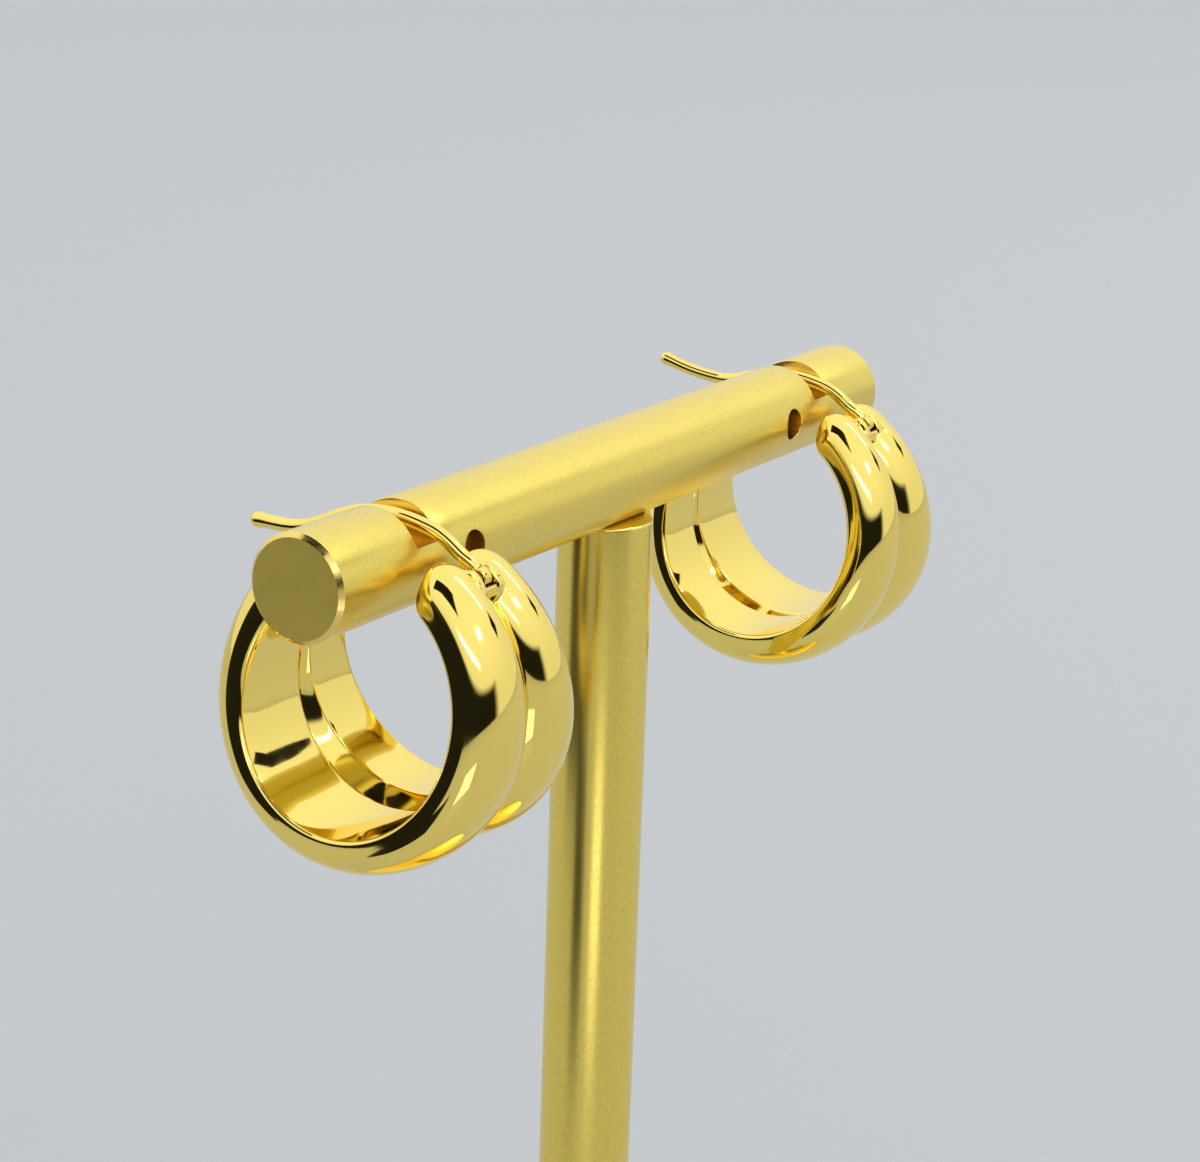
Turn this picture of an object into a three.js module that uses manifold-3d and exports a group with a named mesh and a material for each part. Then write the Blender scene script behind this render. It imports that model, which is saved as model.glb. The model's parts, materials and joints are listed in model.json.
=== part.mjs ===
// A pair of wide double-rib hoop earrings with hinged ear wires, hung in the two notches of a
// small T-bar display stand. Millimetres, +Z up. The crossbar runs along X, the hinges face -Y,
// and the origin is the middle of the base's underside.
import * as THREE from 'three';
import { mergeVertices } from 'three/addons/utils/BufferGeometryUtils.js';
import Module from 'manifold-3d';

const wasm = await Module();
wasm.setup();

// Stand
const standHeight = 85; // surface to the top of the crossbar
const barLength = 62;
const barDiameter = 6;
const barEdge = 0.25; // bright chamfer round each flat end
const notchInset = 8; // bar end to the middle of the notch
const notchWidth = 2.1;
const notchDepth = 1.9;
const studHoleInset = 12.2; // bar end to the hole for ear studs
const studHoleDiameter = 2;
const postDiameter = 5.8;
const postEdge = 0.2;
const seatDepth = 0.3; // flat under the bar, where the post's top bears
const tenonDiameter = 2.6; // plain end that holds the post in the bar and in the base
const tenonLength = 2.2;
const tenonGap = 0.25;
const baseDiameter = 50;
const baseThickness = 4;
const baseEdge = 0.6;

// Hoop
const boreDiameter = 13.44;
const boreDrop = 0.27; // middle of the bore below the middle of the hoop
const bandWidth = 9.6; // halfway up the sides
const bandSwell = 3; // added at the bottom, and taken off at the top
const ribHeight = 2.6; // bore to crest
const ribFullness = 0.95; // 1 is an ellipse, less is a squarer dome
const edgeHeight = 0.75; // upright side wall below the dome
const valleyHeight = 0.75; // bore to the bottom of the groove between the domes
const valleyShift = 0.25; // that groove lies off the middle of the band, and the inner one too
const lipRound = 0.28;
const grooveWidth = 2; // across the inner groove at the bottom of the hoop
const grooveLeast = 0.2; // across it at the ends
const grooveDepth = 0.6;
const grooveShift = 0.75;
const ribStep = 0.3; // the narrow rib's inner face stands in by this much beside the groove
const noseLength = 1.4;
const noseRise = 0.58; // height of the nose's tip, as a share of the rib's height
const endFlare = 0.2; // how far each end straightens out of the circle
const flareStart = 100; // degrees from the bottom at which that begins
const ribOverlap = 0.1; // each rib runs this far into the other, so the two are one body

// How the hoop hangs
const crownHeight = 9.53; // hoop centre to the top of the ear wire's arch
const archGap = 0.76; // notch floor to the underside of that arch
const hoopForward = 0.57; // hoop centre in front of the bar's axis
const mouthGap = 0.5; // each end of the hoop to the bar

// Hinge and ear wire
const wireDiameter = 0.8;
const tipDiameter = 0.9; // the wire's tip is melted to a small ball
const pinDiameter = 0.5;
const pinGap = 0.08;
const eyeWall = 0.27;
const eyeWidth = 0.66; // the wire is hammered a little flatter there
const hingeGap = 0.15; // eye to the walls and floor of its slot
const hingeSetback = 1.72; // front end of the ribs to the pin
const pinHeight = 2.14; // bore to the middle of the pin
const cheekWidth = 0.65;
const lugLength = 2.05;
const lugHeight = 1.15; // above the underside of the eye
const lugLead = 0.6; // part of the lug that lies in front of the pin
const pinSink = 0.15; // pin end to the end of its hole
const tailLength = 9.37;
const tailDrop = 1.8;

// The side of the lug, from its front foot over the top to its back foot: shares of lugLength
// and lugHeight.
const lugOutline = [
  { along: 0, height: -0.35 },
  { along: 0, height: 0.45 },
  { along: 0.05, height: 0.78 },
  { along: 0.13, height: 0.95 },
  { along: 0.24, height: 1 },
  { along: 0.5, height: 0.93 },
  { along: 0.75, height: 0.76 },
  { along: 0.93, height: 0.45 },
  { along: 1, height: 0.1 },
  { along: 1, height: -0.35 },
];

// The arch of an ear wire, from its hinge to its crown: shares of the two distances between them.
const archRows = [
  { span: 0, rise: 0 },
  { span: 0.08, rise: 0.24 },
  { span: 0.2, rise: 0.42 },
  { span: 0.35, rise: 0.66 },
  { span: 0.47, rise: 0.8 },
  { span: 0.6, rise: 0.885 },
  { span: 0.8, rise: 0.97 },
  { span: 1, rise: 1 },
];

// The tail behind the crown is bent by hand and so a little different on each earring: shares of
// tailLength and tailDrop. Each hoop also settles a little differently in its notch: slide is a
// share of the play along the bar, lift of archGap and forward of hoopForward.
const ears = [
  {
    name: 'left',
    side: -1,
    slide: 0.15,
    lift: 1.15,
    forward: 1.17,
    tailRows: [
      { span: 0.17, drop: 0.09 },
      { span: 0.31, drop: 0.32 },
      { span: 0.46, drop: 0.68 },
      { span: 0.59, drop: 0.92 },
      { span: 0.7, drop: 1 },
      { span: 0.92, drop: 1 },
    ],
  },
  {
    name: 'right',
    side: 1,
    slide: 0.5,
    lift: 0.85,
    forward: 0.83,
    tailRows: [
      { span: 0.15, drop: 0.07 },
      { span: 0.3, drop: 0.26 },
      { span: 0.41, drop: 0.44 },
      { span: 0.51, drop: 0.52 },
      { span: 0.64, drop: 0.48 },
      { span: 0.81, drop: 0.34 },
      { span: 1, drop: 0.08 },
    ],
  },
];

// Facets
const barSides = 40;
const baseSides = 56;
const holeSides = 16;
const hoopSteps = 38;
const noseSteps = 5;
const domeSteps = 9;
const wireSides = 8;
const wireSteps = 30;
const tipSides = 8;
const weldDistance = 1e-5; // corners of a mesh that are nearer than this are one corner

// Worked out from the sizes above
const barRadius = barDiameter / 2;
const axisHeight = standHeight - barRadius;
const notchFloor = barRadius - notchDepth;
const notchX = barLength / 2 - notchInset;
const seatHeight = axisHeight - barRadius + seatDepth;
const boreRadius = boreDiameter / 2;
const wireRadius = wireDiameter / 2;
const eyeRadius = pinDiameter / 2 + pinGap + eyeWall;
const slotWidth = wireDiameter + 2 * hingeGap;
const lugWidth = slotWidth + 2 * cheekWidth;
const pinLength = lugWidth - 2 * pinSink;

// The crown's height and the hoop's centre, as (y, z) from the bar's axis, halfway between the two
// earrings.
const crownRise = notchFloor + archGap + wireRadius;
const centre = new THREE.Vector2(-hoopForward, crownRise - crownHeight);

// An angle round the hoop is 0 at its lowest point and positive towards +Y. Both ends stop where
// the lip comes within mouthGap of the bar.
const endReach = barRadius + mouthGap;
const endRadius = boreRadius - boreDrop + endFlare;
const centreReach = centre.length();
const mouthCosine =
  (endReach ** 2 - centreReach ** 2 - endRadius ** 2) / (2 * centreReach * endRadius);
const mouthAngle = Math.acos(mouthCosine);
const lean = Math.atan2(centre.x, -centre.y);
const frontEnd = lean - mouthAngle;
const backEnd = lean + mouthAngle;

// The band and its inner groove are widest at the bottom.
const halfBand = (angle) => (bandWidth + bandSwell * Math.cos(angle)) / 2;
const grooveShare = (angle) => ((1 + Math.cos(angle)) / 2) ** 1.5;

// The radius of the bore, which also grows a little towards the two ends.
function lipRadius(angle) {
  const start = THREE.MathUtils.degToRad(flareStart);
  const share = Math.max(Math.abs(angle - lean) - start, 0) / (mouthAngle - start);
  return boreRadius + boreDrop * Math.cos(angle) + endFlare * share ** 2;
}

const pinAngle = frontEnd + hingeSetback / (endRadius + valleyHeight);
const pinRadial = lipRadius(pinAngle) + pinHeight;
const pin = new THREE.Vector2(pinRadial * Math.sin(pinAngle), -pinRadial * Math.cos(pinAngle));

// Materials
const polishedGold = new THREE.MeshStandardMaterial({ color: 0xf0cf5a, roughness: 0.08, metalness: 1 });
const satinGold = new THREE.MeshStandardMaterial({ color: 0xd8bf62, roughness: 0.42, metalness: 1 });

function solid(geometry) {
  const bare = geometry.index ? geometry.toNonIndexed() : geometry.clone();
  bare.deleteAttribute('normal');
  bare.deleteAttribute('uv');
  const merged = mergeVertices(bare, weldDistance);
  return new wasm.Manifold(new wasm.Mesh({
    numProp: 3,
    vertProperties: new Float32Array(merged.attributes.position.array),
    triVerts: new Uint32Array(merged.index.array),
  }));
}

function mesh(name, body, material) {
  const result = body.getMesh();
  const geometry = new THREE.BufferGeometry();
  geometry.setAttribute('position', new THREE.BufferAttribute(result.vertProperties, 3));
  geometry.setIndex(new THREE.BufferAttribute(result.triVerts, 1));
  geometry.computeVertexNormals();
  const node = new THREE.Mesh(geometry, material);
  node.name = name;
  return node;
}

// A turned piece: pairs of radius and height, closed on the axis, standing along Z.
function turned(profile, sides) {
  return new THREE.LatheGeometry(profile.map(([r, z]) => new THREE.Vector2(r, z)), sides)
    .rotateX(Math.PI / 2);
}

// A plain rod along X, with its middle at (x, y, z).
function rodAlongX(diameter, length, sides, x, y, z) {
  return new THREE.CylinderGeometry(diameter / 2, diameter / 2, length, sides)
    .rotateZ(-Math.PI / 2)
    .translate(x, y, z);
}

// Crossbar: a round bar with a chamfer at each end, notched across its top for the ear wires,
// drilled through for ear studs, and flattened and bored underneath for the post.
function crossbar() {
  const half = barLength / 2;
  const profile = [
    [0, -half], [barRadius - barEdge, -half], [barRadius, -half + barEdge],
    [barRadius, half - barEdge], [barRadius - barEdge, half], [0, half],
  ];
  let body = solid(turned(profile, barSides).rotateY(Math.PI / 2));
  const studHoleX = half - studHoleInset;
  for (const side of [-1, 1]) {
    const notch = new THREE.BoxGeometry(notchWidth, 2 * barDiameter, barDiameter)
      .translate(side * notchX, 0, notchFloor + barRadius);
    const studHole = new THREE.CylinderGeometry(
      studHoleDiameter / 2, studHoleDiameter / 2, 2 * barDiameter, holeSides,
    ).translate(side * studHoleX, 0, 0);
    body = body.subtract(solid(notch)).subtract(solid(studHole));
  }
  const seat = new THREE.BoxGeometry(postDiameter + 2 * postEdge, 2 * barDiameter, barDiameter)
    .translate(0, 0, seatDepth - barDiameter);
  const socketDepth = tenonLength + tenonGap;
  const socketRadius = tenonDiameter / 2 + tenonGap;
  const socket = new THREE.CylinderGeometry(socketRadius, socketRadius, 2 * socketDepth, holeSides)
    .rotateX(Math.PI / 2)
    .translate(0, 0, seatDepth - barRadius);
  body = body.subtract(solid(seat)).subtract(solid(socket));
  return body.translate([0, 0, axisHeight]);
}

// Post: a plain round rod between base and crossbar, with a tenon at each end.
function post() {
  const outer = postDiameter / 2;
  const inner = tenonDiameter / 2;
  const profile = [
    [0, baseThickness - tenonLength], [inner, baseThickness - tenonLength],
    [inner, baseThickness], [outer, baseThickness],
    [outer, seatHeight - postEdge], [outer - postEdge, seatHeight],
    [inner, seatHeight], [inner, seatHeight + tenonLength], [0, seatHeight + tenonLength],
  ];
  return solid(turned(profile, barSides));
}

// Base: a round disc with a broken edge and a blind socket for the post.
function base() {
  const outer = baseDiameter / 2;
  const socket = tenonDiameter / 2 + tenonGap;
  const socketFloor = baseThickness - tenonLength - tenonGap;
  const profile = [
    [0, 0], [outer - baseEdge, 0], [outer, baseEdge],
    [outer, baseThickness - baseEdge], [outer - baseEdge, baseThickness],
    [socket, baseThickness], [socket, socketFloor], [0, socketFloor],
  ];
  return solid(turned(profile, baseSides));
}

// The section of a rib where the hoop's angle is given: points of (u, h), with u along X from the
// middle of the band towards the rib's own edge and h outwards from the bore. Both grooves lie off
// the middle, into the narrow rib, where shift is 1; it is -1 for the wide one. The section runs
// from the edge over the dome to the outer groove, across to the inner one and back along the bore.
function ribSection(angle, shift) {
  const half = halfBand(angle);
  const valley = shift * valleyShift;
  const groove = shift * grooveShift;
  const gap = THREE.MathUtils.lerp(grooveLeast, grooveWidth, grooveShare(angle)) / 2;
  const step = shift > 0 ? ribStep * grooveShare(angle) : 0;
  const points = [
    [half - lipRound, 0],
    [half, lipRound],
  ];
  for (let k = 0; k <= domeSteps; k += 1) {
    const turn = Math.PI * k / domeSteps;
    const low = THREE.MathUtils.lerp(edgeHeight, valleyHeight, k / domeSteps);
    const lift = Math.max(Math.sin(turn), 0) ** ribFullness;
    points.push([
      (half + valley + (half - valley) * Math.cos(turn)) / 2,
      low + (ribHeight - low) * lift,
    ]);
  }
  points.push(
    [valley - ribOverlap, valleyHeight],
    [groove - ribOverlap, grooveDepth],
    [groove, grooveDepth],
    [groove + gap, -step],
  );
  return points;
}

// A rib is that section carried round the hoop. Over the last noseLength at each end it shrinks
// towards a tip in the middle of the rib, as a rounded nose.
function rib(side, shift) {
  const noseAngle = noseLength / endRadius;
  const angles = [];
  for (let step = 1; step <= noseSteps; step += 1) {
    angles.push(frontEnd + noseAngle * (1 - Math.cos(Math.PI / 2 * step / noseSteps)));
  }
  for (let step = 1; step < hoopSteps; step += 1) {
    angles.push(THREE.MathUtils.lerp(frontEnd + noseAngle, backEnd - noseAngle, step / hoopSteps));
  }
  for (let step = noseSteps; step >= 1; step -= 1) {
    angles.push(backEnd - noseAngle * (1 - Math.cos(Math.PI / 2 * step / noseSteps)));
  }
  const place = (u, h, angle) => {
    const radius = lipRadius(angle) + h;
    return [side * u, radius * Math.sin(angle), -radius * Math.cos(angle)];
  };
  const tipAt = (angle) => ({
    u: (halfBand(angle) + shift * valleyShift) / 2, h: ribHeight * noseRise,
  });
  const sections = angles.map((angle) => {
    const intoNose = Math.min(angle - frontEnd, backEnd - angle) / noseAngle;
    const size = Math.sqrt(1 - Math.max(1 - intoNose, 0) ** 2);
    const tip = tipAt(angle);
    return ribSection(angle, shift).map(([u, h]) => place(
      tip.u + (u - tip.u) * size, tip.h + (h - tip.h) * size, angle,
    ));
  });
  const [frontTip, backTip] = [frontEnd, backEnd].map((angle) => {
    const tip = tipAt(angle);
    return place(tip.u, tip.h, angle);
  });
  const vertices = [];
  const facet = (a, b, c) => vertices.push(...(side > 0 ? [...a, ...b, ...c] : [...a, ...c, ...b]));
  const count = sections[0].length;
  for (let k = 0; k < count; k += 1) {
    const next = (k + 1) % count;
    facet(frontTip, sections[0][next], sections[0][k]);
    facet(backTip, sections.at(-1)[k], sections.at(-1)[next]);
    for (let row = 0; row + 1 < sections.length; row += 1) {
      const near = sections[row];
      const far = sections[row + 1];
      facet(near[k], near[next], far[next]);
      facet(near[k], far[next], far[k]);
    }
  }
  const geometry = new THREE.BufferGeometry();
  geometry.setAttribute('position', new THREE.Float32BufferAttribute(vertices, 3));
  return solid(geometry);
}

// The lug that carries the hinge: its side outline, bent round the hoop and extruded along X.
function lug() {
  const shape = new THREE.Shape(lugOutline.map(({ along, height }) => {
    const angle = pinAngle + (along * lugLength - lugLead) / pinRadial;
    const radius = lipRadius(angle) + pinHeight - eyeRadius + height * lugHeight;
    return new THREE.Vector2(radius * Math.sin(angle), -radius * Math.cos(angle));
  }));
  return solid(alongX(new THREE.ExtrudeGeometry(shape, { depth: lugWidth, bevelEnabled: false })));
}

// Turns a shape drawn in (y, z) and extruded into one that is centred on the plane X = 0.
function alongX(geometry) {
  geometry.computeBoundingBox();
  return geometry
    .translate(0, 0, -geometry.boundingBox.max.z / 2)
    .rotateX(Math.PI / 2)
    .rotateZ(Math.PI / 2);
}

// The slot in which the ear wire turns, open at the top and towards the end of the hoop, and the
// hole for the pin.
function hingeCuts() {
  const reach = eyeRadius + hingeGap;
  const ahead = 2 * hingeSetback;
  const above = 2 * lugHeight;
  const slot = new THREE.BoxGeometry(slotWidth, reach + ahead, reach + above)
    .translate(0, (ahead - reach) / 2, (above - reach) / 2)
    .rotateX(pinAngle - Math.PI)
    .translate(0, pin.x, pin.y);
  const hole = rodAlongX(pinDiameter + 2 * pinGap, lugWidth, holeSides, 0, pin.x, pin.y);
  return solid(slot).add(solid(hole));
}

// Hoop: two ribs side by side in one body, with the lug for the hinge between them. The pair is
// mirrored: the wide rib is the one away from the post.
function hoop(ear) {
  return rib(ear.side, -1).add(rib(-ear.side, 1)).add(lug()).subtract(hingeCuts());
}

function hingePin() {
  return solid(rodAlongX(pinDiameter, pinLength, holeSides, 0, pin.x, pin.y));
}

// The middle line of an ear wire, in the hoop's own frame: from the hinge over the arch and down
// the tail.
function wireRoute(ear) {
  const crown = new THREE.Vector2(hoopForward * ear.forward, crownHeight);
  const arch = archRows.map(({ span, rise }) => new THREE.Vector3(
    0, THREE.MathUtils.lerp(pin.x, crown.x, span), THREE.MathUtils.lerp(pin.y, crown.y, rise),
  ));
  const tail = ear.tailRows.map(({ span, drop }) => new THREE.Vector3(
    0, crown.x + span * tailLength, crown.y - drop * tailDrop,
  ));
  return new THREE.CatmullRomCurve3([...arch, ...tail], false, 'centripetal');
}

// Ear wire: a round wire with a ball-rounded tip and an eye that turns on the pin.
function earWire(ear) {
  const route = wireRoute(ear);
  const start = route.getPoint(0);
  const tip = route.getPoint(1);
  const section = new THREE.Shape(new THREE.Path()
    .absarc(0, 0, wireRadius, 0, 2 * Math.PI).getSpacedPoints(wireSides).slice(0, wireSides));
  const tube = new THREE.ExtrudeGeometry(section, { steps: wireSteps, extrudePath: route });
  const ball = new THREE.SphereGeometry(tipDiameter / 2, 2 * tipSides, tipSides)
    .translate(tip.x, tip.y, tip.z);
  const eye = rodAlongX(2 * eyeRadius, eyeWidth, holeSides, start.x, start.y, start.z);
  const hole = rodAlongX(
    pinDiameter + 2 * pinGap, 2 * wireDiameter, holeSides, start.x, start.y, start.z,
  );
  return solid(tube).add(solid(ball)).add(solid(eye)).subtract(solid(hole));
}

const pair = new THREE.Group();
pair.add(mesh('crossbar', crossbar(), satinGold));
pair.add(mesh('post', post(), satinGold));
pair.add(mesh('base', base(), satinGold));

for (const ear of ears) {
  const play = (notchWidth - wireDiameter) / 2;
  const lift = (ear.lift - 1) * archGap;
  const earring = new THREE.Group();
  earring.position.set(
    ear.side * notchX + ear.slide * play,
    -hoopForward * ear.forward,
    axisHeight + centre.y + lift,
  );
  earring.add(mesh(`${ear.name}_hoop`, hoop(ear), polishedGold));
  earring.add(mesh(`${ear.name}_hinge_pin`, hingePin(), polishedGold));
  earring.add(mesh(`${ear.name}_ear_wire`, earWire(ear), polishedGold));
  pair.add(earring);
}

export default pair;
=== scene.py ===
import json
import math
import bmesh
import bpy
import numpy as np
from mathutils import Matrix, Vector


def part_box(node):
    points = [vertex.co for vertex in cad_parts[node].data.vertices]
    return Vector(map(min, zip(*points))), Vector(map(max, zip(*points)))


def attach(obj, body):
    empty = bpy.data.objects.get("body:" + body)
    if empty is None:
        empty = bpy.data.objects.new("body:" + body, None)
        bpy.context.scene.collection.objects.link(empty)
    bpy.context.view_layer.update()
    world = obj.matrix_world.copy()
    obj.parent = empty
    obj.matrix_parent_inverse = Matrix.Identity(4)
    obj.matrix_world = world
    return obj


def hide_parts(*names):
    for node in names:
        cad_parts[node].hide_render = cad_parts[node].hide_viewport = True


# A pair of double-rib hoop earrings hung on a small T-bar display stand, in metres, in the frame of
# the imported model: +Z up, the crossbar along X, the hinges of the ear wires on the -Y side.
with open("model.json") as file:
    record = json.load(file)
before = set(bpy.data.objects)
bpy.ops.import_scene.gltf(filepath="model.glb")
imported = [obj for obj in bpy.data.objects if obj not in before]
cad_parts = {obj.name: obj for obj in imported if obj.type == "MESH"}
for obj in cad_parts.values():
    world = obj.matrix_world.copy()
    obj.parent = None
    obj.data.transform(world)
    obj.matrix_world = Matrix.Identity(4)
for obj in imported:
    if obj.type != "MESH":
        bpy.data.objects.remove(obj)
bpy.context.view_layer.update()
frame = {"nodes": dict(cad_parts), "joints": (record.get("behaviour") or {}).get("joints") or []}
MM = 0.001

# The camera stands a little above the bar, in front of its left end, and looks along the bar and
# down on it. It is level but for a small roll.
camera_place = Vector((-142.24, -84.23, 123.57)) * MM
camera_azimuth = math.radians(-59.294)
camera_elevation = math.radians(16.306)
camera_roll = math.radians(1.925)
camera_data = bpy.data.cameras.new("camera")
camera_data.sensor_width = 36
camera_data.lens = 84.708
camera_data.clip_start = 10 * MM
camera = bpy.data.objects.new("camera", camera_data)
camera.matrix_world = (
    Matrix.Translation(camera_place)
    @ Matrix.Rotation(camera_azimuth, 4, "Z")
    @ Matrix.Rotation(math.pi / 2 - camera_elevation, 4, "X")
    @ Matrix.Rotation(camera_roll, 4, "Z")
)
bpy.context.scene.collection.objects.link(camera)
bpy.context.scene.camera = camera

# The crossbar is a turned round bar with chamfered ends. A notch is milled across its top near each
# end for an ear wire, a hole is drilled from front to back for an ear stud, and a flat underneath
# seats it on the post. It is fine-blasted and gold plated; what was cut afterwards is brighter.
bar_low, bar_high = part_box("crossbar")
bar_radius = (bar_high.z - bar_low.z) / 2
bar_half = bar_high.x
axis_height = (bar_high.z + bar_low.z) / 2
bar_edge = 0.25 * MM
notch_x = bar_half - 8 * MM
notch_half = 1.05 * MM
notch_floor = bar_radius - 1.9 * MM
stud_x = bar_half - 12.2 * MM
stud_radius = 1 * MM
stud_patch = 1.5 * MM
cut_edge = 0.07 * MM
seat_floor = bar_radius - 0.3 * MM
seat_half = 3.1 * MM
WELD = 0.5e-6
TOP, FRONT, BELOW = 0, math.pi / 2, math.pi
notch_corner = math.acos(notch_floor / bar_radius)
seat_corner = BELOW - math.acos(seat_floor / bar_radius)
patch_turn = math.asin(stud_patch / bar_radius)
patch_start, patch_end = FRONT - patch_turn, FRONT + patch_turn


def skin(name, patches, materials, sharp=32):
    """One closed mesh from patches, each a grid of points with the index of its material. Four
    neighbours in a grid make a face, and points that meet along the patches' edges become one."""
    points, faces, indices, start = [], [], [], 0
    for grid, index in patches:
        rows, columns = grid.shape[:2]
        number = start + np.arange(rows * columns).reshape(rows, columns)
        ring = [number[:-1, :-1], number[1:, :-1], number[1:, 1:], number[:-1, 1:]]
        faces.append(np.stack(ring, axis=-1).reshape(-1, 4))
        indices.append(np.full(len(faces[-1]), index))
        points.append(grid.reshape(-1, 3))
        start += rows * columns
    mesh = bpy.data.meshes.new(name)
    mesh.from_pydata(np.concatenate(points).tolist(), [], np.concatenate(faces).tolist())
    for material in materials:
        mesh.materials.append(material)
    mesh.polygons.foreach_set("material_index", np.concatenate(indices))
    shell = bmesh.new()
    shell.from_mesh(mesh)
    bmesh.ops.remove_doubles(shell, verts=shell.verts, dist=WELD)
    bmesh.ops.dissolve_degenerate(shell, edges=shell.edges, dist=WELD)
    bmesh.ops.recalc_face_normals(shell, faces=shell.faces)
    shell.to_mesh(mesh)
    shell.free()
    mesh.shade_smooth()
    mesh.set_sharp_from_angle(angle=math.radians(sharp))
    piece = bpy.data.objects.new(name, mesh)
    bpy.context.scene.collection.objects.link(piece)
    return piece


def bar_point(x, turn, radius):
    """A point of the bar: turn is measured round its axis from the top towards the front."""
    x, turn, radius = np.broadcast_arrays(x, turn, radius)
    return np.stack([x, -radius * np.sin(turn), axis_height + radius * np.cos(turn)], axis=-1)


def crosscut(middle, half, direction, floor, turn):
    """Rows along the bar through a flat-bottomed cut: over a rounded edge, down the wall, across
    the floor and up again. The flat lies at its height over the cosine of the angle from its own
    direction, and a row is cut to it, but no deeper than the edge has reached."""
    quarter = np.linspace(0, math.pi / 2, 5)
    offset = np.concatenate([half + cut_edge * (1 - np.sin(quarter)), [half, half / 2]])
    reached = np.concatenate([cut_edge * (1 - np.cos(quarter)), [bar_radius, bar_radius]])
    offset = np.concatenate([-offset, offset[::-1]])[:, None]
    reached = np.concatenate([reached, reached[::-1]])[:, None]
    cosine = np.maximum(np.cos(turn - direction), floor / bar_radius)
    sunk = np.minimum(bar_radius - floor / cosine, reached)
    return bar_point(middle + offset, turn, bar_radius - sunk)


def stud_hole(middle):
    """The bar's skin round a cross hole: square patches at front and back shrink to a circle, roll
    over its rim and meet in the hole's wall. Points keep their x and z on the way through."""
    along = middle + stud_patch * patch_steps
    angles = one_side[(one_side >= patch_start) & (one_side <= patch_end)]
    x = np.concatenate([along, 0 * angles + along[-1], along[::-1], 0 * angles + along[0]])
    turn = np.concatenate([0 * along + patch_start, angles, 0 * along + patch_end, angles[::-1]])
    across = np.stack([x - middle, bar_radius * np.cos(turn)], axis=-1)
    reach = np.linalg.norm(across, axis=-1)
    share = np.linspace(1, 0, 6)[:, None]
    quarter = np.linspace(0, math.pi / 2, 5)[1:, None]
    radius = np.concatenate([
        reach * share + (stud_radius + cut_edge) * (1 - share),
        stud_radius + cut_edge * (1 - np.sin(quarter)) + 0 * reach,
    ])
    sunk = np.concatenate([0 * share, cut_edge * (1 - np.cos(quarter))])
    flat = across / reach[:, None] * radius[..., None]
    height = np.sqrt(bar_radius ** 2 - flat[..., 1] ** 2) - sunk
    front = np.stack([middle + flat[..., 0], -height, axis_height + flat[..., 1]], axis=-1)
    back = front[::-1] * [1, -1, 1]
    return [(front[:6], 0), (back[-6:], 0), (np.concatenate([front[5:], back[:-5]]), 1)]


def gold_shader(name, colour, roughness):
    """A new metal material, and the parts of it that the finishes add to."""
    material = bpy.data.materials.new(name)
    material.use_nodes = True
    shader = material.node_tree.nodes["Principled BSDF"]
    shader.inputs["Metallic"].default_value = 1
    shader.inputs["Base Color"].default_value = (*colour, 1)
    shader.inputs["Roughness"].default_value = roughness
    return material, material.node_tree, shader


def grain(tree, stretch, scale, detail):
    """Noise on the piece's own coordinates, which Mapping squeezes along the grain."""
    place = tree.nodes.new("ShaderNodeTexCoord")
    mapping = tree.nodes.new("ShaderNodeMapping")
    mapping.inputs["Scale"].default_value = stretch
    noise = tree.nodes.new("ShaderNodeTexNoise")
    noise.inputs["Scale"].default_value = scale
    noise.inputs["Detail"].default_value = detail
    tree.links.new(place.outputs["Object"], mapping.inputs["Vector"])
    tree.links.new(mapping.outputs["Vector"], noise.inputs["Vector"])
    return noise.outputs["Fac"]


def spread(tree, value, low, high, socket):
    """Sends noise, which mostly lies between 0.3 and 0.7, to a socket as low to high."""
    span = tree.nodes.new("ShaderNodeMapRange")
    span.inputs["From Min"].default_value = 0.3
    span.inputs["From Max"].default_value = 0.7
    span.inputs["To Min"].default_value = low
    span.inputs["To Max"].default_value = high
    tree.links.new(value, span.inputs["Value"])
    tree.links.new(span.outputs["Result"], socket)


def tint(tree, value, low, high, socket):
    """Sends noise to a colour socket as a mix of two colours."""
    ramp = tree.nodes.new("ShaderNodeValToRGB")
    ramp.color_ramp.elements[0].position = 0.3
    ramp.color_ramp.elements[0].color = (*low, 1)
    ramp.color_ramp.elements[1].position = 0.7
    ramp.color_ramp.elements[1].color = (*high, 1)
    tree.links.new(value, ramp.inputs["Fac"])
    tree.links.new(ramp.outputs["Color"], socket)


def relief(tree, value, shader, depth, strength):
    """Raises the surface by noise, up to depth."""
    bump = tree.nodes.new("ShaderNodeBump")
    bump.inputs["Strength"].default_value = strength
    bump.inputs["Distance"].default_value = depth
    tree.links.new(value, bump.inputs["Height"])
    tree.links.new(bump.outputs["Normal"], shader.inputs["Normal"])


def satin_gold(name, stretch, roughness=0.3):
    """Gold plate over a fine-blasted surface: a soft gloss with a grain of less than a tenth of a
    millimetre and a faint unevenness of colour."""
    material, tree, shader = gold_shader(name, (0.88, 0.69, 0.17), roughness)
    spread(tree, grain(tree, stretch, 500, 1), roughness - 0.02, roughness + 0.02,
           shader.inputs["Roughness"])
    tint(tree, grain(tree, stretch, 14000, 2), (0.79, 0.61, 0.11), (0.92, 0.73, 0.18),
         shader.inputs["Base Color"])
    relief(tree, grain(tree, stretch, 18000, 2), shader, 0.005 * MM, 0.7)
    return material


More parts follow.
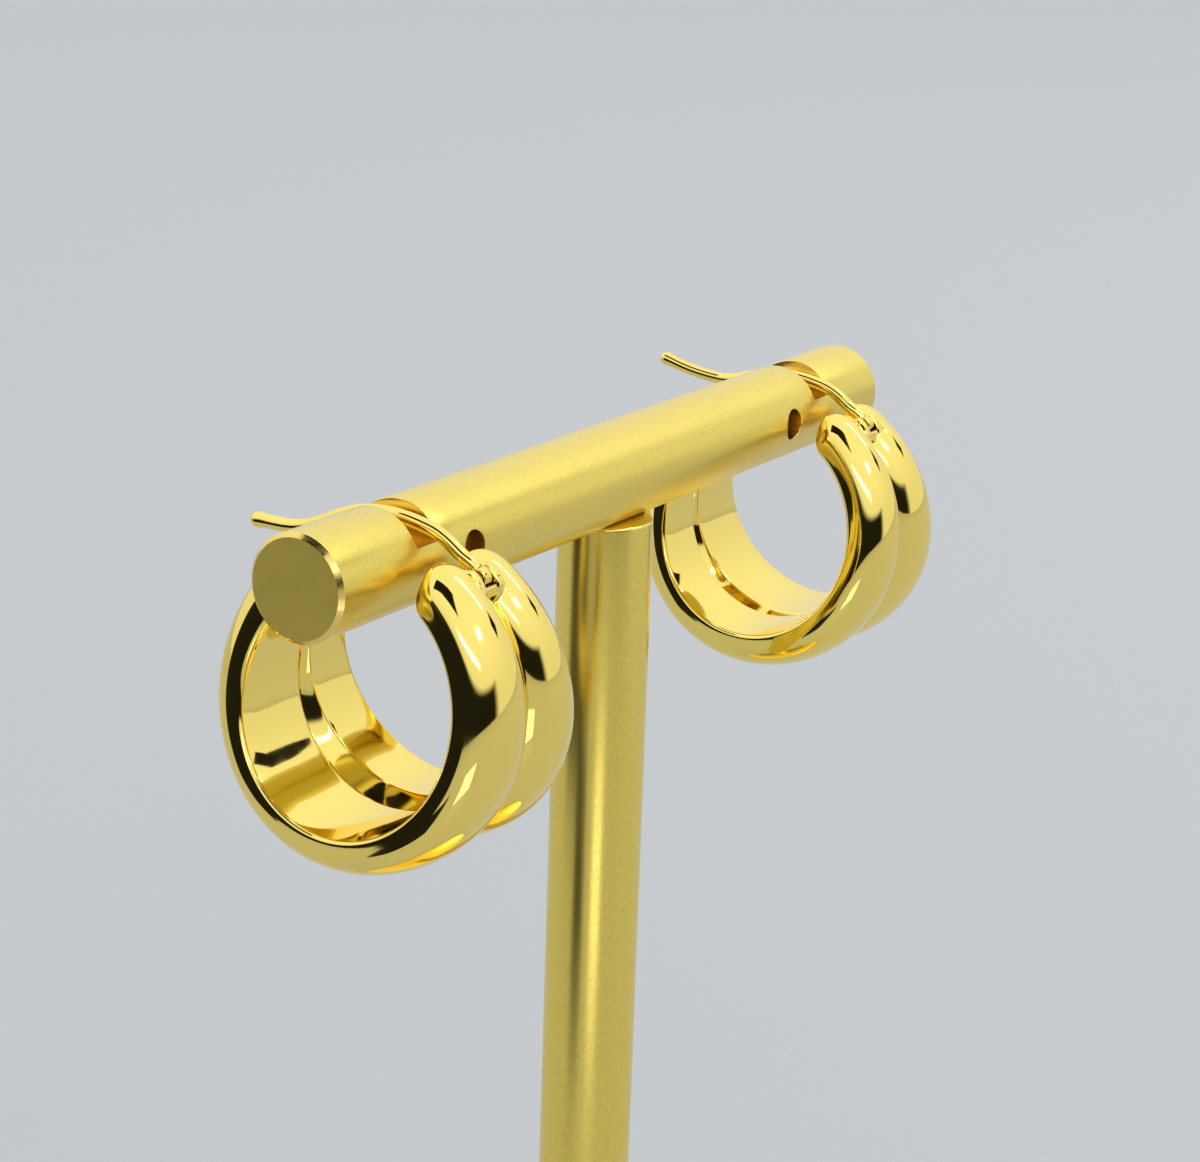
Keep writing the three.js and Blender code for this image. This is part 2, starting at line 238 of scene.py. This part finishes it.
def cut_gold(name):
    """Gold plate over a machined surface: bright, with the cutter's fine lines."""
    material, tree, shader = gold_shader(name, (0.9, 0.66, 0.2), 0.2)
    spread(tree, grain(tree, (1, 0.1, 1), 4000, 2), 0.14, 0.26, shader.inputs["Roughness"])
    relief(tree, grain(tree, (1, 0.05, 1), 9000, 2), shader, 0.003 * MM, 0.5)
    return material


patch_steps = np.linspace(-1, 1, 13)
stops = [TOP, patch_start, patch_end, BELOW]
one_side = np.unique(np.concatenate(
    [np.linspace(a, b, 15) for a, b in zip(stops[:-1], stops[1:])] + [[notch_corner, seat_corner]]
))
all_round = np.concatenate([one_side, 2 * math.pi - one_side[-2::-1]])


def over_top(corner):
    """The angles from one corner over the top of the bar to its twin at the back."""
    part = one_side[one_side <= corner]
    return np.concatenate([-part[:0:-1], part])


def round_below(corner):
    """The angles from one corner round the underside to its twin at the back."""
    part = one_side[one_side >= corner]
    return np.concatenate([part, 2 * math.pi - part[-2::-1]])


bar_satin = satin_gold("bar_satin", (0.5, 1, 1))
end_satin = satin_gold("end_satin", (1, 1, 1), 0.5)
bright_cut = cut_gold("bright_cut")
bar_patches = [
    (crosscut(0, seat_half, BELOW, seat_floor, over_top(seat_corner)), 0),
    (crosscut(0, seat_half, BELOW, seat_floor, round_below(seat_corner)), 1),
]
for side in (-1, 1):
    plain = [
        (seat_half + cut_edge, stud_x - stud_patch),
        (stud_x + stud_patch, notch_x - notch_half - cut_edge),
        (notch_x + notch_half + cut_edge, bar_half - bar_edge),
    ]
    for stretch in plain:
        bar_patches.append((bar_point(side * np.array(stretch)[:, None], all_round, bar_radius), 0))
    patch_rows = side * stud_x + stud_patch * patch_steps[:, None]
    bar_patches += [
        (bar_point(patch_rows, over_top(patch_start), bar_radius), 0),
        (bar_point(patch_rows, round_below(patch_end), bar_radius), 0),
        *stud_hole(side * stud_x),
        (crosscut(side * notch_x, notch_half, TOP, notch_floor, over_top(notch_corner)), 1),
        (crosscut(side * notch_x, notch_half, TOP, notch_floor, round_below(notch_corner)), 0),
    ]
    end_x = side * np.array([bar_half - bar_edge, bar_half, bar_half])[:, None]
    end_radius = np.array([bar_radius, bar_radius - bar_edge, 0])[:, None]
    end = bar_point(end_x, all_round, end_radius)
    bar_patches += [(end[:2], 1), (end[1:], 2)]

crossbar = skin("bar", bar_patches, [bar_satin, bright_cut, end_satin])
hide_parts("crossbar")
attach(crossbar, "stand_and_hoops")

# The post is a plain round rod with a broken edge at its top, where the bar's flat bears on it. It
# is finished as the bar is, with a faint grain down its length from the lathe.
post_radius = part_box("post")[1].x
post_top = axis_height - seat_floor
post_edge = 0.2 * MM
base_low, base_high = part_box("base")


def turned(radius, height, steps):
    """A piece turned on the Z axis: each pair of radius and height is carried round it."""
    turn = np.linspace(0, 2 * math.pi, steps + 1)
    radius, height = np.asarray(radius)[:, None], np.asarray(height)[:, None]
    return np.stack(np.broadcast_arrays(
        radius * np.cos(turn), radius * np.sin(turn), height
    ), axis=-1)


post_satin = satin_gold("post_satin", (1, 1, 0.25), 0.23)
quarter = np.linspace(0, math.pi / 2, 5)
rod = turned([0, post_radius, post_radius], [base_high.z, base_high.z, post_top - post_edge], 96)
rim = turned(post_radius - post_edge * (1 - np.cos(quarter)),
             post_top - post_edge * (1 - np.sin(quarter)), 96)
rod_end = turned([post_radius - post_edge, 0], [post_top, post_top], 96)
post = skin("rod", [(rod, 0), (rim, 1), (rod_end, 0)], [post_satin, bright_cut])
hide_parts("post")
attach(post, "stand_and_hoops")

# The base is a plain turned disc with rounded edges, faced on a lathe and finished as the bar is.
base_radius = base_high.x
base_edge = 0.6 * MM
base_satin = satin_gold("base_satin", (1, 1, 1))
ring_radius = base_radius - base_edge * (1 - np.cos(quarter))
upper = base_high.z - base_edge * (1 - np.sin(quarter))
lower = base_low.z + base_edge * (1 - np.sin(quarter))
disc = turned(
    np.concatenate([[0], ring_radius[::-1], ring_radius, [base_radius / 2, 0]]),
    np.concatenate([[base_low.z], lower[::-1], upper, [base_high.z, base_high.z]]), 160,
)
base = skin("disc", [(disc, 0)], [base_satin])
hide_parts("base")
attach(base, "stand_and_hoops")

# Each hoop is cast in one piece as two closed, domed ribs side by side, with a plain bore, a deep
# groove between the domes and a small one inside. Both grooves lie off the middle, so the rib away
# from the post is the wider one. The ribs end in rounded noses. A slotted lug for the hinge rises
# from the outer groove near the front end. It is mirror-polished and gold plated.
bore_radius = 6.72 * MM
bore_drop = 0.27 * MM
band_width = 9.6 * MM
band_swell = 3 * MM
rib_height = 2.6 * MM
rib_fullness = 0.95
edge_height = 0.75 * MM
valley_height = 0.75 * MM
valley_shift = 0.25 * MM
lip_round = 0.28 * MM
groove_width = 2 * MM
groove_least = 0.2 * MM
groove_depth = 0.6 * MM
groove_shift = 0.75 * MM
groove_round = 0.1 * MM
rib_step = 0.3 * MM
nose_length = 1.4 * MM
nose_rise = 0.58
end_flare = 0.2 * MM
flare_start = math.radians(100)
end_radius = bore_radius - bore_drop + end_flare
lean = math.radians(-4.483)
mouth = math.radians(151.396)
front_end, back_end = lean - mouth, lean + mouth
eye_radius = 0.6 * MM
pin_height = 2.14 * MM
hinge_gap = 0.15 * MM
slot_half = 0.55 * MM
lug_half = 1.2 * MM
lug_length = 2.05 * MM
lug_height = 1.15 * MM
lug_lead = 0.6 * MM
lug_peak = 0.24
lug_round = 0.16 * MM
lug_margin = 0.1 * MM
solder = 0.07 * MM
near_valley = 1.7 * MM
near_brink = 0.4 * MM
hinge_bore = 0.33 * MM


def lip_radius(angle):
    """The bore's radius: it follows the cosine of the angle, and grows with the square of the way
    into each end."""
    share = np.clip((np.abs(angle - lean) - flare_start) / (mouth - flare_start), 0, None)
    return bore_radius + bore_drop * np.cos(angle) + end_flare * share ** 2


pin_angle = front_end + 1.72 * MM / (end_radius + valley_height)
pin_reach = lip_radius(pin_angle) + pin_height


def half_band(angle):
    """Half the band's width, greatest at the bottom: it follows the cosine of the angle."""
    return (band_width + band_swell * np.cos(angle)) / 2


def lug_top(u, angle):
    """The lug's height: it rises steeply at its front, is highest a quarter of the way back and
    slopes down behind as a rounded tongue. Its edges, at the sides and at the slot, are rounded."""
    along = (angle - pin_angle) * pin_reach / lug_length + lug_lead / lug_length
    ahead = np.clip((lug_peak - along) / lug_peak, 0, 1)
    behind = np.clip((along - lug_peak) / (1 - lug_peak), 0, 1)
    share = (1 - ahead ** 4) ** 0.5 * (1 - behind ** 2.4) ** 0.6
    inside = np.minimum(lug_half - np.abs(u), np.abs(u) - slot_half)
    rounding = np.clip(1 - inside / lug_round, 0, 1)
    edge = lug_round * (1 - np.sqrt(1 - rounding ** 2))
    sunk = np.where((share > 0) & (np.abs(u) < lug_half), 0, 3 * lug_height)
    return pin_height - eye_radius + lug_height * share - edge - sunk


def rib_section(angle, shift):
    """A rib's section at each angle, as u across the band and h out from the bore. From the inner
    groove's bottom it runs up the groove's wall, along the bore, round the edge, up the side and
    over the dome to the outer groove. Wall and bore meet as the smooth maximum of two straight
    lines, less its small excess at the edge, and the dome is a squared ellipse. The shift is 1 for
    the narrow rib and -1 for the wide one."""
    angle = angle[:, None]
    half = half_band(angle)
    share = ((1 + np.cos(angle)) / 2) ** 1.5
    gap = (groove_least + (groove_width - groove_least) * share) / 2
    step = rib_step * share * max(shift, 0)
    groove, valley = shift * groove_shift, shift * valley_shift
    brink = groove + gap
    edge = half - lip_round
    bore_u = np.concatenate([
        groove + gap * np.array([0, 0.2, 0.4, 0.6, 0.72, 0.8, 0.86, 0.91, 0.95, 0.98, 1]),
        brink + near_brink * np.array([0.03, 0.07, 0.12, 0.18, 0.26, 0.38, 0.6, 1]),
        brink + near_brink + (edge - brink - near_brink) * np.linspace(0, 1, 5)[1:],
    ], axis=1)
    wall_h = groove_depth - (groove_depth + step) * (bore_u - groove) / gap
    face_h = -step * (edge - bore_u) / (edge - brink)
    bore_h = (wall_h + face_h + np.sqrt((wall_h - face_h) ** 2 + groove_round ** 2)) / 2
    excess = groove_round ** 2 / (4 * groove_depth)
    excess = np.clip((bore_u - brink) / (edge - brink), 0, 1) * excess
    bend = np.linspace(0, math.pi / 2, 10)[1:]
    level = np.ones_like(half)
    side_h = lip_round + (edge_height - lip_round) * np.array([0.33, 0.67])
    break_turn = np.arccos(2 * near_valley / (half - valley) - 1)
    valley_u = near_valley * (1 - np.linspace(0, 1, 29)[1:]) ** 1.3
    dome_turn = np.concatenate([
        break_turn * np.linspace(0, 1, 17), np.arccos(2 * valley_u / (half - valley) - 1),
    ], axis=1)
    dome_u = valley + (half - valley) / 2 * (1 + np.cos(dome_turn))
    low = edge_height + (valley_height - edge_height) * dome_turn / math.pi
    weld_share = 0.14 * ((1 - np.cos(dome_turn)) / 2) ** 2
    lift = np.sqrt(np.abs(np.sin(dome_turn)) ** (2 * rib_fullness) + weld_share ** 2)
    dome_h = low + (rib_height - low) * lift
    lug = lug_top(dome_u, angle)
    dome_h = (dome_h + lug + np.sqrt((dome_h - lug) ** 2 + solder ** 2)) / 2
    u = np.concatenate([
        bore_u, edge + lip_round * np.sin(bend), half * [1, 1], dome_u,
    ], axis=1)
    h = np.concatenate([
        bore_h - excess, lip_round * (1 - np.cos(bend)) * level, side_h * level, dome_h,
    ], axis=1)
    return u, h


def round_hoop(side, u, h, angle):
    """The place of a point of the section, in the hoop's own frame: angle is 0 at its lowest point
    and grows towards +Y."""
    radius = lip_radius(angle[:, None]) + h
    return np.stack([side * u, radius * np.sin(angle[:, None]), -radius * np.cos(angle[:, None])],
                    axis=-1)


def nose(side, shift, end, inward):
    """One rib's end: its section, closed by a web between the two grooves, shrinks towards a tip as
    the square root of one less the square of the way, so that it ends in a rounded nose."""
    way = np.sin(np.linspace(0, math.pi / 2, 15))
    angle = end + inward * nose_angle * (1 - way)
    u, h = rib_section(angle, shift)
    web = np.linspace(0, 1, 7)[1:]
    u = np.concatenate([u, u[:, -1:] * (1 - web) + u[:, :1] * web], axis=1)
    h = np.concatenate([h, h[:, -1:] * (1 - web) + h[:, :1] * web], axis=1)
    size = np.sqrt(1 - way ** 2)[:, None]
    tip_u = (half_band(angle)[:, None] + shift * valley_shift) / 2
    tip_h = rib_height * nose_rise
    return round_hoop(side, tip_u + (u - tip_u) * size, tip_h + (h - tip_h) * size, angle)


def polished_gold(name):
    """Mirror-polished gold plate on cast brass: a clear gloss, the buffing wheel's slight waviness
    and a faint bloom."""
    material, tree, shader = gold_shader(name, (0.96, 0.75, 0.19), 0.06)
    spread(tree, grain(tree, (1, 1, 1), 700, 2), 0.035, 0.085, shader.inputs["Roughness"])
    relief(tree, grain(tree, (1, 1, 1), 420, 1), shader, 0.02 * MM, 0.25)
    return material


nose_angle = nose_length / end_radius
lug_rows = pin_angle + np.linspace(
    -lug_lead - lug_margin, lug_length - lug_lead + lug_margin, 56,
) / pin_reach
main_rows = np.linspace(front_end + nose_angle, back_end - nose_angle, 181)
beside_lug = (main_rows < lug_rows[0]) | (main_rows > lug_rows[-1])
hoop_rows = np.unique(np.concatenate([
    main_rows[beside_lug], lug_rows[lug_rows > main_rows[0]], main_rows[[0, -1]],
]))


def hoop_patches(outer_side):
    """The two ribs of a hoop, the wide one on the side that is given."""
    patches = []
    for side, shift in ((outer_side, -1), (-outer_side, 1)):
        patches.append((round_hoop(side, *rib_section(hoop_rows, shift), hoop_rows), 0))
        patches.append((nose(side, shift, front_end, 1), 0))
        patches.append((nose(side, shift, back_end, -1), 0))
    return patches


def cutter(name, patches, centre):
    """A closed shape that is only cut away from a hoop, turned to the hinge's place on it."""
    piece = skin(name, patches, [])
    piece.data.transform(Matrix.Translation(centre + pin_offset)
                         @ Matrix.Rotation(pin_angle - math.pi, 4, "X"))
    return piece


def block(low, high):
    """The six sides of a box as one grid that wraps round it from the middle of its floor."""
    x0, y0, z0 = low
    x1, y1, z1 = high
    ring = np.array([[x0, y0], [x1, y0], [x1, y1], [x0, y1], [x0, y0]])
    middle = np.array([[(x0 + x1) / 2, (y0 + y1) / 2]] * 5)
    rows = [(middle, z0), (ring, z0), (ring, z1), (middle, z1)]
    return np.stack([np.column_stack([xy, np.full(5, z)]) for xy, z in rows])


def rod_across(radius, half, steps):
    """A plain rod along X, through the origin."""
    turn = np.linspace(0, 2 * math.pi, steps + 1)
    size = np.array([0, radius, radius, 0])[:, None]
    x = np.array([-half, -half, half, half])[:, None] + 0 * turn
    return np.stack([x, size * np.cos(turn), size * np.sin(turn)], axis=-1)


pin_offset = Vector((0, pin_reach * math.sin(pin_angle), -pin_reach * math.cos(pin_angle)))
pin_at = {joint["child"]: Vector(joint["pos_m"]) for joint in frame["joints"]}
slot_reach = eye_radius + hinge_gap
slot_ahead = 4 * MM
slot_above = 3 * MM
gold = polished_gold("polished_gold_plate")
for ear, outer_side in (("left", -1), ("right", 1)):
    centre = pin_at[f"{ear}_wire"] - pin_offset
    hoop = skin(f"{ear}_band", hoop_patches(outer_side), [gold], sharp=40)
    hoop.data.transform(Matrix.Translation(centre))
    slot = cutter("slot", [(block((-slot_half, -slot_reach, -slot_reach),
                                  (slot_half, slot_ahead, slot_above)), 0)], centre)
    hole = cutter("hole", [(rod_across(hinge_bore, lug_half, 32), 0)], centre)
    for tool in (slot, hole):
        cut = hoop.modifiers.new(tool.name, "BOOLEAN")
        cut.operation = "DIFFERENCE"
        cut.solver = "EXACT"
        cut.object = tool
    bpy.context.view_layer.update()
    finished = hoop.evaluated_get(bpy.context.evaluated_depsgraph_get())
    hoop.data = bpy.data.meshes.new_from_object(finished)
    hoop.modifiers.clear()
    hoop.data.set_sharp_from_angle(angle=math.radians(40))
    for tool in (slot, hole):
        bpy.data.objects.remove(tool)
    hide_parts(f"{ear}_hoop")
    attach(hoop, "stand_and_hoops")

# A short pin of gold-plated wire goes through the lug's cheeks and the eye of each ear wire.
for ear in ("left", "right"):
    pin = frame["nodes"][f"{ear}_hinge_pin"]
    pin.data.materials.clear()
    pin.data.materials.append(gold)

# Each ear wire is one round wire. It is flattened and drilled at the hinge, arches over the bar
# through the notch and runs down behind it as a free tail, bent by hand, with a melted ball at its
# tip. It is polished and plated as the hoop is.
wire_radius = 0.4 * MM
tip_radius = 0.45 * MM
eye_half = 0.33 * MM
crown_height = 9.53 * MM
hoop_forward = 0.57 * MM
tail_length = 9.37 * MM
tail_drop = 1.8 * MM
arch = np.array([[0, 0], [0.08, 0.24], [0.2, 0.42], [0.35, 0.66], [0.47, 0.8], [0.6, 0.885],
                 [0.8, 0.97], [1, 1]])
tails = {
    "left": (1.17, [[0.17, 0.09], [0.31, 0.32], [0.46, 0.68], [0.59, 0.92], [0.7, 1], [0.92, 1]]),
    "right": (0.83, [[0.15, 0.07], [0.3, 0.26], [0.41, 0.44], [0.51, 0.52], [0.64, 0.48],
                     [0.81, 0.34], [1, 0.08]]),
}


def smooth_line(points, steps):
    """A smooth line through the points: a cubic between neighbours, with the slope at each point
    that of the parabola through it and its two neighbours."""
    apart = np.linalg.norm(np.diff(points, axis=0), axis=1)
    knots = np.concatenate([[0], np.cumsum(np.sqrt(apart))])
    slope = np.gradient(points, knots, axis=0)
    at = np.linspace(0, knots[-1], steps)
    i = np.clip(np.searchsorted(knots, at, side="right") - 1, 0, len(knots) - 2)
    gap = (knots[i + 1] - knots[i])[:, None]
    t = (at[:, None] - knots[i][:, None]) / gap
    return (points[i] * (1 + 2 * t) * (1 - t) ** 2 + points[i + 1] * t ** 2 * (3 - 2 * t)
            + gap * slope[i] * t * (1 - t) ** 2 - gap * slope[i + 1] * t ** 2 * (1 - t))


def wire_skin(route):
    """A tube round a route in the plane X = 0. It is narrowed a little across at the eye, where it
    is as wide as the eye, and closed by a hemisphere at the tip."""
    along = np.gradient(route, axis=0)
    along /= np.linalg.norm(along, axis=1)[:, None]
    way = np.concatenate([[0], np.cumsum(np.linalg.norm(np.diff(route, axis=0), axis=1))])
    to_tip = np.clip(1 - (way[-1] - way) / (2 * tip_radius), 0, 1)
    radius = wire_radius + (tip_radius - wire_radius) * to_tip ** 2 * (3 - 2 * to_tip)
    flat = np.clip(1 - way / (1.2 * MM), 0, 1)
    across = radius - (wire_radius - eye_half) * flat ** 2 * (3 - 2 * flat)
    dome = np.linspace(0, math.pi / 2, 9)[1:]
    ball = route[-1] + tip_radius * np.sin(dome)[:, None] * along[-1]
    route = np.concatenate([route[:1], route, ball])
    along = np.concatenate([along[:1], along, np.repeat(along[-1:], len(dome), axis=0)])
    radius = np.concatenate([[0], radius, tip_radius * np.cos(dome)])
    across = np.concatenate([[0], across, tip_radius * np.cos(dome)])
    turn = np.linspace(0, 2 * math.pi, 33)
    outward = np.stack([-along[:, 1], along[:, 0]], axis=-1)
    side = across[:, None] * np.sin(turn)
    out = (radius[:, None] * np.cos(turn))[..., None] * outward[:, None, :]
    return np.concatenate([side[..., None], route[:, None, :] + out], axis=-1)


def eye_skin():
    """The eye as a ring round the pin: a rectangle with rounded corners turned about X."""
    corner = 0.08 * MM
    bend = np.linspace(0, math.pi / 2, 5)
    wall_middle = (eye_radius + hinge_bore) / 2
    half_wall = (eye_radius - hinge_bore) / 2
    x, r = [], []
    for sx, sr, start in ((1, 1, 0), (-1, 1, 1), (-1, -1, 2), (1, -1, 3)):
        a = bend + start * math.pi / 2
        x.append(sx * (eye_half - corner) + corner * np.cos(a))
        r.append(wall_middle + sr * (half_wall - corner) + corner * np.sin(a))
    x = np.concatenate(x + [x[0][:1]])[:, None]
    r = np.concatenate(r + [r[0][:1]])[:, None]
    turn = np.linspace(0, 2 * math.pi, 49)
    return np.stack(np.broadcast_arrays(x, r * np.cos(turn), r * np.sin(turn)), axis=-1)


for ear, (forward, tail) in tails.items():
    centre = pin_at[f"{ear}_wire"] - pin_offset
    pin_y, pin_z = pin_offset[1], pin_offset[2]
    crown_y = hoop_forward * forward
    arch_y = pin_y + (crown_y - pin_y) * arch[:, 0]
    arch_z = pin_z + (crown_height - pin_z) * arch[:, 1]
    tail_y = crown_y + tail_length * np.array(tail)[:, 0]
    tail_z = crown_height - tail_drop * np.array(tail)[:, 1]
    points = np.stack([np.concatenate([arch_y, tail_y]), np.concatenate([arch_z, tail_z])], axis=-1)
    route = smooth_line(points, 220)
    clear = np.linalg.norm(route - points[0], axis=1) > (eye_radius + hinge_bore) / 2
    wire = skin(f"{ear}_wire", [
        (wire_skin(route[clear]), 0),
        (eye_skin() + np.array([0, pin_y, pin_z]), 0),
    ], [gold])
    wire.data.transform(Matrix.Translation(centre))
    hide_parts(f"{ear}_ear_wire")
    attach(wire, f"{ear}_wire")

# The floor and the light are the studio's: a plain pale table in a bright room with three windows
# and a row of small lamps, and a few dark cards round it that show in the metal alone.
floor_mesh = bpy.data.meshes.new("floor")
floor_mesh.from_pydata([(-4, -4, 0), (4, -4, 0), (4, 4, 0), (-4, 4, 0)], [], [(0, 1, 2, 3)])
floor = bpy.data.objects.new("floor", floor_mesh)
bpy.context.scene.collection.objects.link(floor)
pale = bpy.data.materials.new("pale_table")
pale.use_nodes = True
pale_shader = pale.node_tree.nodes["Principled BSDF"]
pale_shader.inputs["Base Color"].default_value = (0.46, 0.47, 0.485, 1)
pale_shader.inputs["Roughness"].default_value = 0.6
floor_mesh.materials.append(pale)

black = bpy.data.materials.new("black_card")
black.use_nodes = True
black_shader = black.node_tree.nodes["Principled BSDF"]
black_shader.inputs["Base Color"].default_value = (0.002, 0.002, 0.002, 1)
black_shader.inputs["Roughness"].default_value = 1
target = Vector((0, 0, axis_height - 7 * MM))


def toward(azimuth, elevation, distance):
    """Where a thing stands that the hoops see at an azimuth, from +Y over +X, and an elevation, in
    degrees, and how it is turned to face them."""
    a, e = math.radians(azimuth), math.radians(elevation)
    facing = Vector((math.sin(a) * math.cos(e), math.cos(a) * math.cos(e), math.sin(e)))
    turn = facing.to_track_quat("Z", "Y").to_matrix().to_4x4()
    return Matrix.Translation(target + facing * distance) @ turn


def lamp(name, azimuth, elevation, distance, size, brightness):
    """A flat light, so wide and so high, that faces the hoops."""
    light = bpy.data.lights.new(name, "AREA")
    light.shape = "RECTANGLE"
    light.size, light.size_y = size
    light.energy = brightness * math.pi * size[0] * size[1]
    lit = bpy.data.objects.new(name, light)
    lit.matrix_world = toward(azimuth, elevation, distance)
    bpy.context.scene.collection.objects.link(lit)


def dark_card(name, azimuth, elevation, distance, size):
    """A black card that faces the hoops and shows in their reflections alone."""
    w, h = size[0] / 2, size[1] / 2
    card_mesh = bpy.data.meshes.new(name)
    card_mesh.from_pydata([(-w, -h, 0), (w, -h, 0), (w, h, 0), (-w, h, 0)], [], [(0, 1, 2, 3)])
    card_mesh.materials.append(black)
    card = bpy.data.objects.new(name, card_mesh)
    card.matrix_world = toward(azimuth, elevation, distance)
    card.visible_camera = False
    card.visible_diffuse = False
    card.visible_shadow = False
    bpy.context.scene.collection.objects.link(card)


lamp("window", -118, 29, 1.2, (0.9, 0.07), 5)
lamp("side_window", -170, 43, 1.2, (0.3, 0.12), 5)
lamp("low_window", -126, -21, 0.15, (0.05, 0.035), 1.1)
for number in range(9):
    lamp(f"small_lamp_{number}", 119 + 1.3 * number, 64 - 3 * number, 1.5, (0.045, 0.045), 60)
dark_card("card_left", -62, -4, 0.13, (0.1, 0.064))
dark_card("card_far", 128, 28, 0.5, (0.11, 0.07))
dark_card("card_low", -84, -22, 0.13, (0.05, 0.042))
dark_card("card_top", -84, 60, 0.8, (0.66, 0.36))

# The room is brightest overhead, and dark over the horizon on the camera's side, up to some 15
# degrees.
world = bpy.data.worlds.new("room")
world.use_nodes = True
tree = world.node_tree
direction = tree.nodes.new("ShaderNodeTexCoord").outputs["Generated"]
parts = tree.nodes.new("ShaderNodeSeparateXYZ")
tree.links.new(direction, parts.inputs["Vector"])
facing = tree.nodes.new("ShaderNodeVectorMath")
facing.operation = "DOT_PRODUCT"
facing.inputs[1].default_value = (-0.86, -0.51, 0)
tree.links.new(direction, facing.inputs[0])


def ramp(value, start, end, low, high):
    """A smooth step from low to high as the value goes from start to end."""
    span = tree.nodes.new("ShaderNodeMapRange")
    span.interpolation_type = "SMOOTHSTEP"
    span.inputs["From Min"].default_value = start
    span.inputs["From Max"].default_value = end
    span.inputs["To Min"].default_value = low
    span.inputs["To Max"].default_value = high
    tree.links.new(value, span.inputs["Value"])
    return span.outputs["Result"]


def math_of(operation, first, second):
    """One arithmetic step on two sockets."""
    node = tree.nodes.new("ShaderNodeMath")
    node.operation = operation
    tree.links.new(first, node.inputs[0])
    tree.links.new(second, node.inputs[1])
    return node.outputs["Value"]


sky = ramp(parts.outputs["Z"], 0.05, 0.75, 0.88, 1.12)
shade = math_of("MAXIMUM", ramp(parts.outputs["Z"], 0.25, 0.33, 0.015, 1),
                ramp(facing.outputs["Value"], 0.35, 0.6, 1, 0.015))
room = tree.nodes["Background"]
room.inputs["Color"].default_value = (0.97, 0.99, 1, 1)
tree.links.new(math_of("MULTIPLY", sky, shade), room.inputs["Strength"])
bpy.context.scene.world = world
bpy.context.scene.view_settings.view_transform = "Standard"

bpy.context.view_layer.update()
